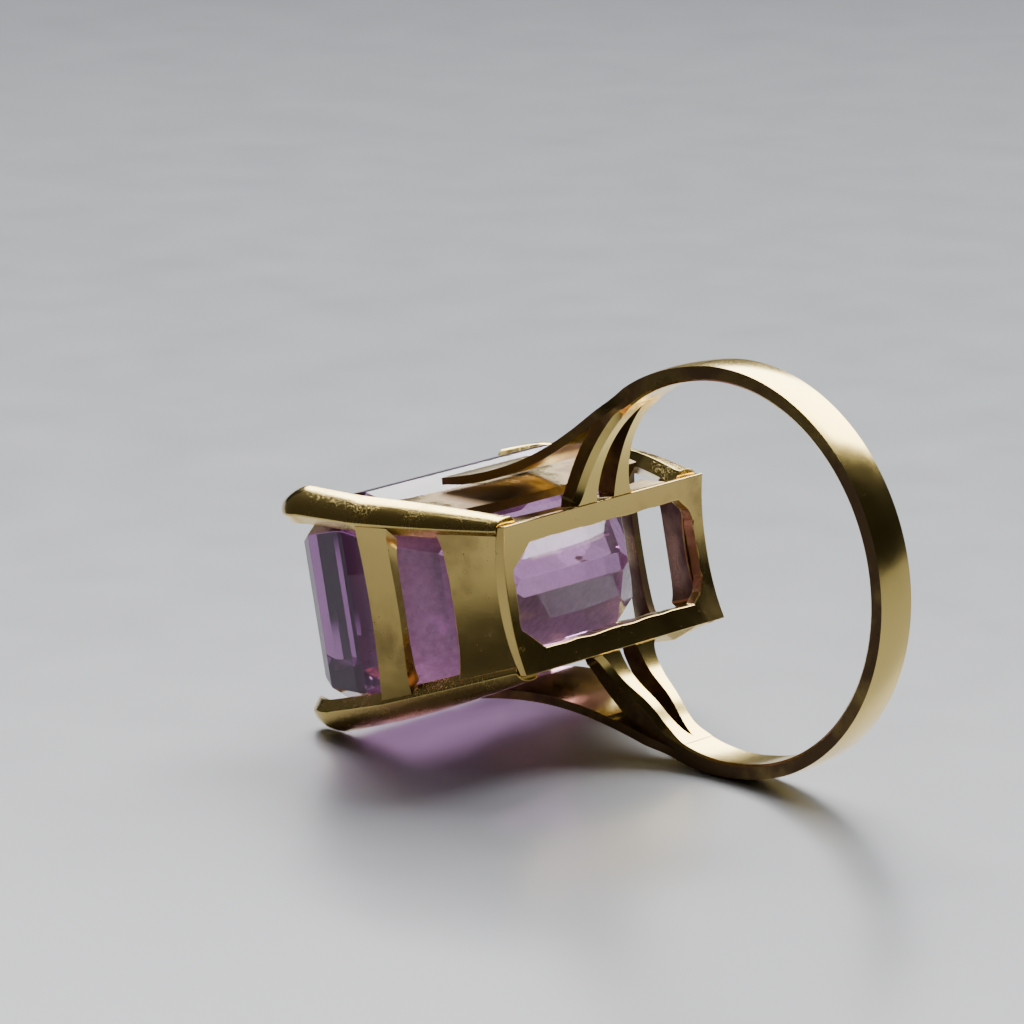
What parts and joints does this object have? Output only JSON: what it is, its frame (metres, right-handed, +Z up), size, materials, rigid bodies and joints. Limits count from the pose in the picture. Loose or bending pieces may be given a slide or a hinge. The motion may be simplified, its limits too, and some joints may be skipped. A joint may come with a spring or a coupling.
{
  "type": "cocktail ring",
  "caption": "Finger ring: a large step-cut stone in an open claw basket, carried by forked shoulders on a plain oval band.",
  "frame": {"origin": "on the table, under the middle of the bounding box, with the ring lying on its side", "axes": "+X from the face of the stone towards the back of the band, +Y along the finger hole, +Z up from the table"},
  "size_m": [0.031, 0.0176, 0.019],
  "materials": {
    "gold": "worn polished yellow gold",
    "stone": "polished violet quartz, step cut"
  },
  "bodies": {
    "root": {"shank": "gold", "shoulder_left": "gold", "shoulder_right": "gold", "base_plate": "gold", "end_rail_lower_front": "gold", "end_rail_lower_rear": "gold", "end_rail_upper_front": "gold", "end_rail_upper_rear": "gold", "side_rail_lower_left": "gold", "side_rail_lower_right": "gold", "side_rail_upper_left": "gold", "side_rail_upper_right": "gold", "claw_front_left": "gold", "claw_front_right": "gold", "claw_rear_left": "gold", "claw_rear_right": "gold", "stone": "stone"}
  },
  "joints": []
}
